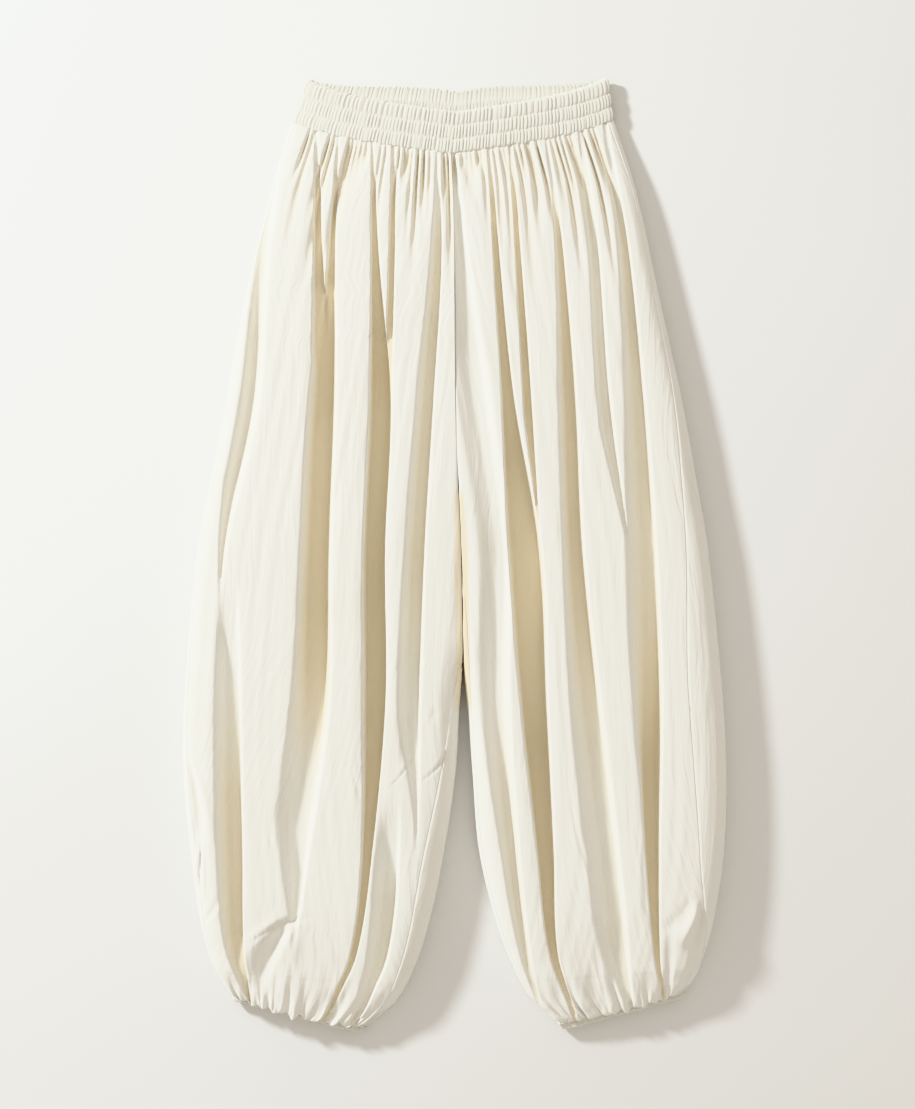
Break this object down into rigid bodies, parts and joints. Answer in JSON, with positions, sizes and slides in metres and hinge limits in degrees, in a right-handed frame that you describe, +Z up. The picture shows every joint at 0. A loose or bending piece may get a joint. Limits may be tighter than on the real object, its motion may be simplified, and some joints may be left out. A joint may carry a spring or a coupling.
{
  "type": "balloon trousers",
  "caption": "Full-length balloon trousers in soft ivory cloth laid flat, with an elastic waistband in channels, long gathered folds and elastic gathered ankles.",
  "frame": {"origin": "under the middle of the garment, on the surface it lies on", "axes": "+Z up from the surface through the back to the front of the trousers, +Y from the ankles to the waist, +X to the viewer's right with the front side up"},
  "size_m": [0.5692, 1.003, 0.04],
  "materials": {
    "panel_cloth": "soft satin weave",
    "elastic_band": "gathered soft satin weave over elastic",
    "ankle_elastic": "gathered soft satin weave over elastic"
  },
  "bodies": {
    "root": {"front_panel_left": "panel_cloth", "front_panel_right": "panel_cloth", "back_panel_left": "panel_cloth", "back_panel_right": "panel_cloth", "waistband": "elastic_band", "ankle_casing_left": "ankle_elastic", "ankle_casing_right": "ankle_elastic"}
  },
  "joints": []
}
